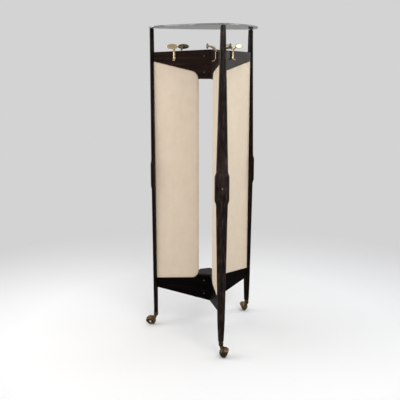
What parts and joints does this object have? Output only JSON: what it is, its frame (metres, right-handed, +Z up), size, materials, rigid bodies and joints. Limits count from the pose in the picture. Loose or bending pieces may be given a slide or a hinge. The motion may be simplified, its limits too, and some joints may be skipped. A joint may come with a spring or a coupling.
{
  "type": "coat stand",
  "caption": "Free-standing coat stand: slim dark posts on a tripod plan, panelled fins, brass hooks with oval heads, a glass top and hooded swivel casters.",
  "frame": {"origin": "middle of the plan's bounding box, on the floor under the wheels", "axes": "+Z up; the front post is towards -Y and the right post towards +X"},
  "size_m": [0.6732, 0.6514, 1.7486],
  "materials": {
    "ebonised_wood": "ebonised, satin polish",
    "cream_leatherette": "matt cream leatherette",
    "panel_board": "raw board, hidden",
    "aged_brass": "aged, worn bright on the edges",
    "blackened_steel": "blackened",
    "grey_glass": "smoked, polished edge",
    "pad_rubber": "matt"
  },
  "bodies": {
    "frame": {"post_front": "ebonised_wood", "post_left": "ebonised_wood", "post_right": "ebonised_wood", "upper_arm_front": "ebonised_wood", "upper_arm_left": "ebonised_wood", "upper_arm_right": "ebonised_wood", "lower_arm_front": "ebonised_wood", "lower_arm_left": "ebonised_wood", "lower_arm_right": "ebonised_wood", "hub_block_upper": "ebonised_wood", "hub_block_lower": "ebonised_wood", "panel_cover_front": "cream_leatherette", "panel_cover_left": "cream_leatherette", "panel_cover_right": "cream_leatherette", "panel_core_front": "panel_board", "panel_core_left": "panel_board", "panel_core_right": "panel_board", "panel_screw_front": "aged_brass", "panel_screw_left": "aged_brass", "panel_screw_right": "aged_brass", "hub_screw_upper_left_top": "blackened_steel", "hub_screw_upper_left_bottom": "blackened_steel", "hub_screw_upper_right_top": "blackened_steel", "hub_screw_upper_right_bottom": "blackened_steel", "hub_screw_lower_left_top": "blackened_steel", "hub_screw_lower_left_bottom": "blackened_steel", "hub_screw_lower_right_top": "blackened_steel", "hub_screw_lower_right_bottom": "blackened_steel", "hub_bolt_upper": "blackened_steel", "hub_bolt_lower": "blackened_steel", "hook_front_ccw": "aged_brass", "hook_front_cw": "aged_brass", "hook_left_ccw": "aged_brass", "hook_left_cw": "aged_brass", "hook_right_ccw": "aged_brass", "hook_right_cw": "aged_brass", "glass_top": "grey_glass", "glass_pad_front": "pad_rubber", "glass_pad_left": "pad_rubber", "glass_pad_right": "pad_rubber", "ferrule_front": "aged_brass", "ferrule_left": "aged_brass", "ferrule_right": "aged_brass"},
    "caster_front": {"caster_hood_front": "aged_brass", "caster_axle_front": "aged_brass"},
    "caster_left": {"caster_hood_left": "aged_brass", "caster_axle_left": "aged_brass"},
    "caster_right": {"caster_hood_right": "aged_brass", "caster_axle_right": "aged_brass"},
    "wheel_front": {"caster_wheel_front": "aged_brass"},
    "wheel_left": {"caster_wheel_left": "aged_brass"},
    "wheel_right": {"caster_wheel_right": "aged_brass"}
  },
  "joints": [
    {"name": "swivel_front", "type": "hinge", "parent": "frame", "child": "caster_front", "pos_m": [-0.04034, -0.26662, 0], "axis": [0, 0, 1], "continuous": true},
    {"name": "swivel_left", "type": "hinge", "parent": "frame", "child": "caster_left", "pos_m": [-0.27574, 0.23822, 0], "axis": [0, 0, 1], "continuous": true},
    {"name": "swivel_right", "type": "hinge", "parent": "frame", "child": "caster_right", "pos_m": [0.31315, 0.23822, 0], "axis": [0, 0, 1], "continuous": true},
    {"name": "wheel_front_spin", "type": "hinge", "parent": "caster_front", "child": "wheel_front", "pos_m": [-0.02775, -0.29691, 0.02834], "axis": [0.8529, -0.2285, -0.4695], "continuous": true},
    {"name": "wheel_left_spin", "type": "hinge", "parent": "caster_left", "child": "wheel_left", "pos_m": [-0.30851, 0.23675, 0.02834], "axis": [-0.5064, -0.7233, -0.4695], "continuous": true},
    {"name": "wheel_right_spin", "type": "hinge", "parent": "caster_right", "child": "wheel_right", "pos_m": [0.30109, 0.26872, 0.02834], "axis": [-0.8487, 0.2434, -0.4695], "continuous": true}
  ]
}
